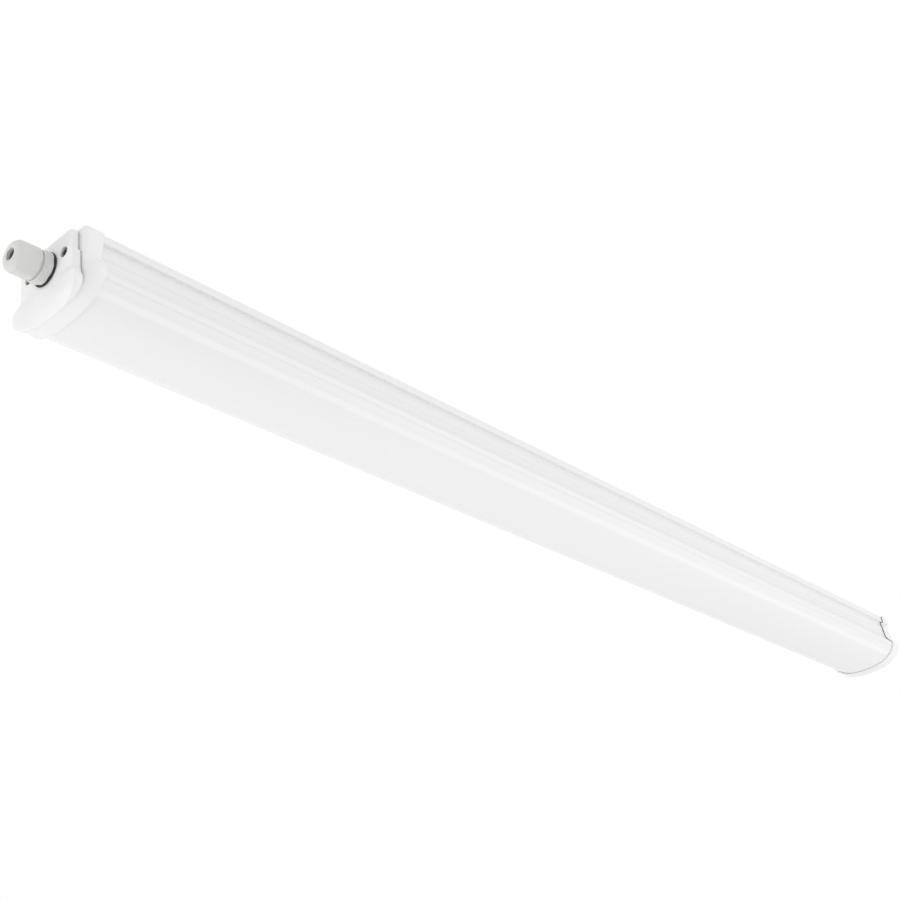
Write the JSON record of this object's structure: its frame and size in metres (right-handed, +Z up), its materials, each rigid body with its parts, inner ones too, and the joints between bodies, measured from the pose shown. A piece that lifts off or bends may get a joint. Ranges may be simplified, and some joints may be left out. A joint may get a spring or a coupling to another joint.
{
  "type": "linear batten light",
  "caption": "Sealed white linear light with an opal underside, screwed end covers and a cable gland, for fixing its flat back under a cabinet or ceiling.",
  "frame": {"origin": "centre of the flat back, which lies against the surface that the light is fixed under", "axes": "+X along the light towards its blank end, with the gland at -X; +Z up, out of the back"},
  "size_m": [1.2679, 0.091, 0.0621],
  "materials": {
    "housing_white": "white, soft gloss",
    "diffuser_opal": "opal white, smooth",
    "gland_grey": "light warm grey, moulded",
    "seal_black": "black, matt",
    "gasket_white": "pale grey silicone",
    "screw_steel": "zinc plated",
    "tray_steel": "galvanised sheet",
    "board_white": "white solder mask",
    "board_green": "green circuit board",
    "driver_grey": "pale grey, fine texture",
    "terminal_white": "off-white",
    "button_orange": "orange",
    "lead_brown": "brown insulation",
    "lead_blue": "blue insulation",
    "lead_green": "green and yellow insulation",
    "lead_red": "red insulation",
    "lead_black": "black insulation"
  },
  "bodies": {
    "light": {"housing": "housing_white", "diffuser": "diffuser_opal", "gland_end_collar": "housing_white", "gland_end_cover": "housing_white", "gland_end_gasket": "gasket_white", "blank_end_cap": "housing_white", "blank_end_gasket": "gasket_white", "gland_end_screw_front": "screw_steel", "gland_end_screw_rear": "screw_steel", "blank_end_screw_front": "screw_steel", "blank_end_screw_rear": "screw_steel", "gland_washer": "seal_black", "gland_body": "gland_grey", "gland_seal": "seal_black", "gland_locknut": "gland_grey", "gear_tray": "tray_steel", "led_board_gland_side": "board_white", "led_board_blank_side": "board_white", "feed_connector": "terminal_white", "board_screw_1": "screw_steel", "board_screw_2": "screw_steel", "board_screw_3": "screw_steel", "board_screw_4": "screw_steel", "driver_screw_1": "screw_steel", "driver_screw_2": "screw_steel", "terminal_screw": "screw_steel", "earth_screw": "screw_steel", "driver_case": "driver_grey", "driver_lid": "driver_grey", "driver_board": "board_green", "terminal_block": "terminal_white", "line_lead": "lead_brown", "neutral_lead": "lead_blue", "earth_lead": "lead_green", "led_plus_lead": "lead_red", "led_minus_lead": "lead_black"},
    "cap_nut": {"gland_cap_nut": "gland_grey"},
    "line_button": {"terminal_button_line": "button_orange"},
    "neutral_button": {"terminal_button_neutral": "button_orange"},
    "earth_button": {"terminal_button_earth": "button_orange"}
  },
  "joints": [
    {"name": "cap_nut_turn", "type": "hinge", "parent": "light", "child": "cap_nut", "pos_m": [-0.643, 0, -0.02107], "axis": [-1, 0, 0], "continuous": true},
    {"name": "line_button_press", "type": "slide", "parent": "light", "child": "line_button", "axis": [0, 0, -1], "range_m": [0, 0.0015], "stiffness_N_per_m": 600},
    {"name": "neutral_button_press", "type": "slide", "parent": "light", "child": "neutral_button", "axis": [0, 0, -1], "range_m": [0, 0.0015], "stiffness_N_per_m": 600},
    {"name": "earth_button_press", "type": "slide", "parent": "light", "child": "earth_button", "axis": [0, 0, -1], "range_m": [0, 0.0015], "stiffness_N_per_m": 600}
  ]
}
